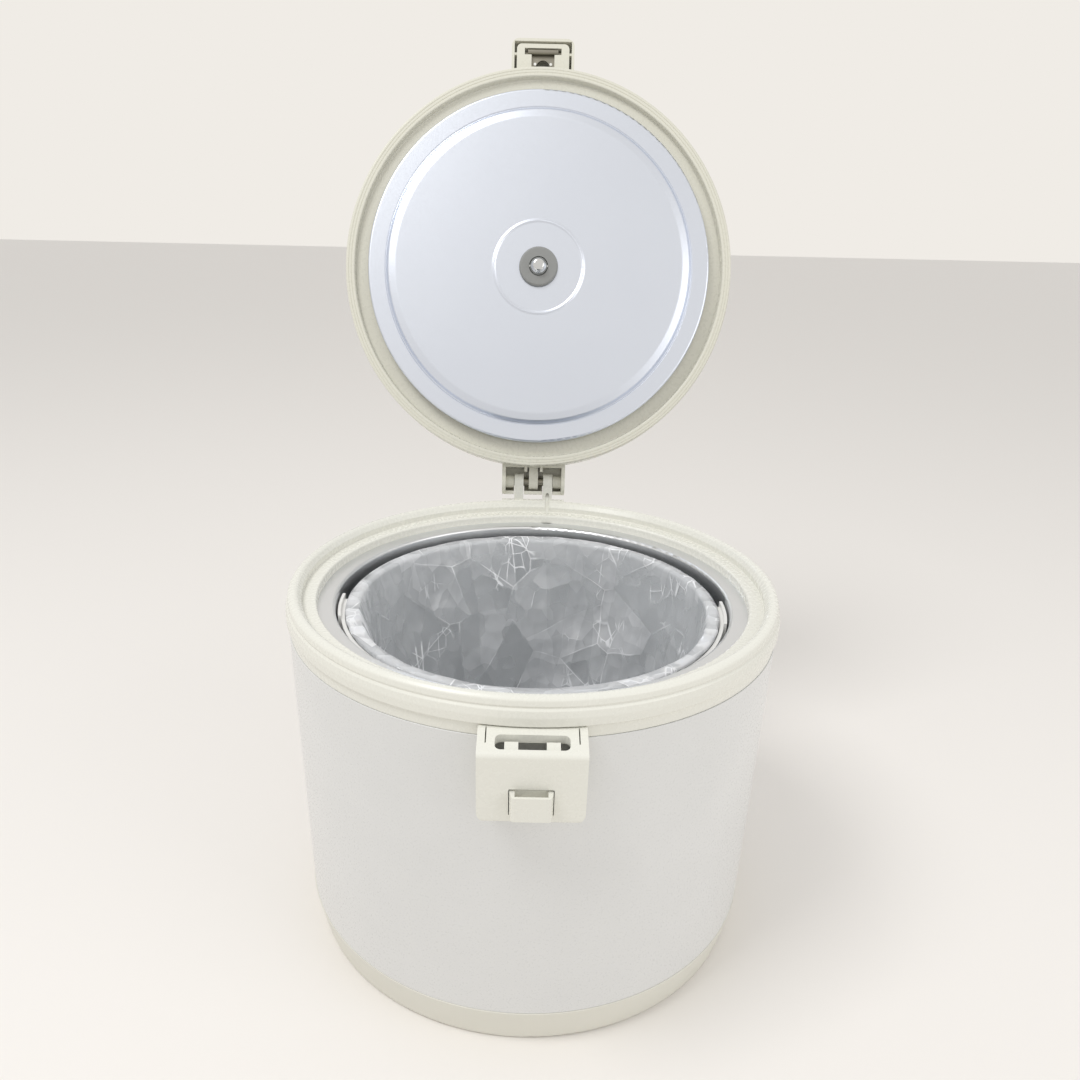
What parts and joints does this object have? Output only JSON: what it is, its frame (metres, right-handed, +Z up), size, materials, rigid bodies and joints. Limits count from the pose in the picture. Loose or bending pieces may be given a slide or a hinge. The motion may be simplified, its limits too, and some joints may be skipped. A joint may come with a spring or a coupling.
{
  "type": "trash compactor",
  "caption": "Round upright suction trash compactor with hinged lid open, bright inner lid, grey bucket with a clear bag, and front latch.",
  "frame": {"origin": "centre of the round footprint, on the floor", "axes": "+Z up, -Y towards the latch at the front, +Y towards the lid hinge, +X to the right seen from the front"},
  "size_m": [0.3424, 0.4916, 0.6237],
  "materials": {
    "shell_paint": "satin off-white paint",
    "cream_plastic": "smooth moulded off-white",
    "lid_plastic": "smooth moulded warm white",
    "pan_plastic": "moulded off-white",
    "white_plastic": "smooth moulded white",
    "grey_plastic": "moulded grey",
    "dark_plastic": "moulded black",
    "bright_aluminium": "satin pressed sheet",
    "chamber_aluminium": "spun sheet",
    "chrome_stud": "polished",
    "steel": "bright steel",
    "zinc_screws": "zinc plated",
    "grey_rubber": "silicone",
    "black_rubber": "moulded",
    "film": "clear crinkled film",
    "copper": "enamelled winding",
    "circuit": "laminate",
    "filter_foam": "open-cell foam",
    "lamp": "translucent green"
  },
  "bodies": {
    "bin": {"base_pan": "pan_plastic", "bottom_cover": "pan_plastic", "foot_pads": "black_rubber", "cover_screws": "zinc_screws", "outer_shell": "shell_paint", "cord_gland": "dark_plastic", "control_board": "circuit", "transformer_core": "steel", "transformer_coil": "copper", "motor_mounts": "black_rubber", "motor_case": "dark_plastic", "motor_stator": "steel", "motor_bearings": "steel", "fan_case": "dark_plastic", "fan_cover": "dark_plastic", "inlet_duct": "dark_plastic", "suction_hose": "grey_rubber", "outlet_duct": "dark_plastic", "exhaust_filter": "filter_foam", "vacuum_chamber": "chamber_aluminium", "flange_screws": "zinc_screws", "shoulder_ring": "cream_plastic", "hinge_tube": "steel", "latch_housing": "cream_plastic", "latch_pin": "steel", "latch_spring": "steel", "latch_screws": "zinc_screws"},
    "lid": {"lid_shell": "lid_plastic", "lid_frame": "lid_plastic", "inner_lid": "bright_aluminium", "lid_gasket": "grey_rubber", "stud_grommet": "grey_rubber", "suction_stud": "chrome_stud", "stud_nut": "steel", "lid_duct": "dark_plastic", "catch_housing": "lid_plastic", "catch_bar": "steel", "catch_rivets": "white_plastic", "lid_screws": "zinc_screws", "control_panel": "cream_plastic", "status_lamp": "lamp", "panel_board": "circuit"},
    "button": {"start_button": "grey_plastic"},
    "lever": {"release_lever": "cream_plastic"},
    "bucket": {"bucket": "grey_plastic", "bag": "film"},
    "bail": {"bail": "white_plastic", "bail_grips": "white_plastic"},
    "rotor": {"impeller": "grey_plastic", "motor_shaft": "steel", "motor_rotor": "steel"}
  },
  "joints": [
    {"name": "lid_hinge", "type": "hinge", "parent": "bin", "child": "lid", "pos_m": [0, 0.172, 0.2836], "axis": [-1, 0, 0], "range_deg": [-110.2, 0]},
    {"name": "release_lever", "type": "hinge", "parent": "bin", "child": "lever", "pos_m": [0, -0.182, 0.224], "axis": [-1, 0, 0], "range_deg": [0, 6], "stiffness_Nm_per_rad": 0.4, "springref_deg": -4.01},
    {"name": "bucket_lift", "type": "slide", "parent": "bin", "child": "bucket", "axis": [0, 0, 1], "range_m": [0, 0.25]},
    {"name": "bail_swing", "type": "hinge", "parent": "bucket", "child": "bail", "pos_m": [0, 0, 0.2425], "axis": [-1, 0, 0], "range_deg": [0, 180]},
    {"name": "start_button", "type": "slide", "parent": "lid", "child": "button", "axis": [0, 0.9901, -0.1405], "range_m": [-0.002, 0], "stiffness_N_per_m": 400, "springref_m": 0.001},
    {"name": "blower_spin", "type": "hinge", "parent": "bin", "child": "rotor", "pos_m": [0, 0, 0.03], "axis": [0, 0, 1], "continuous": true}
  ]
}
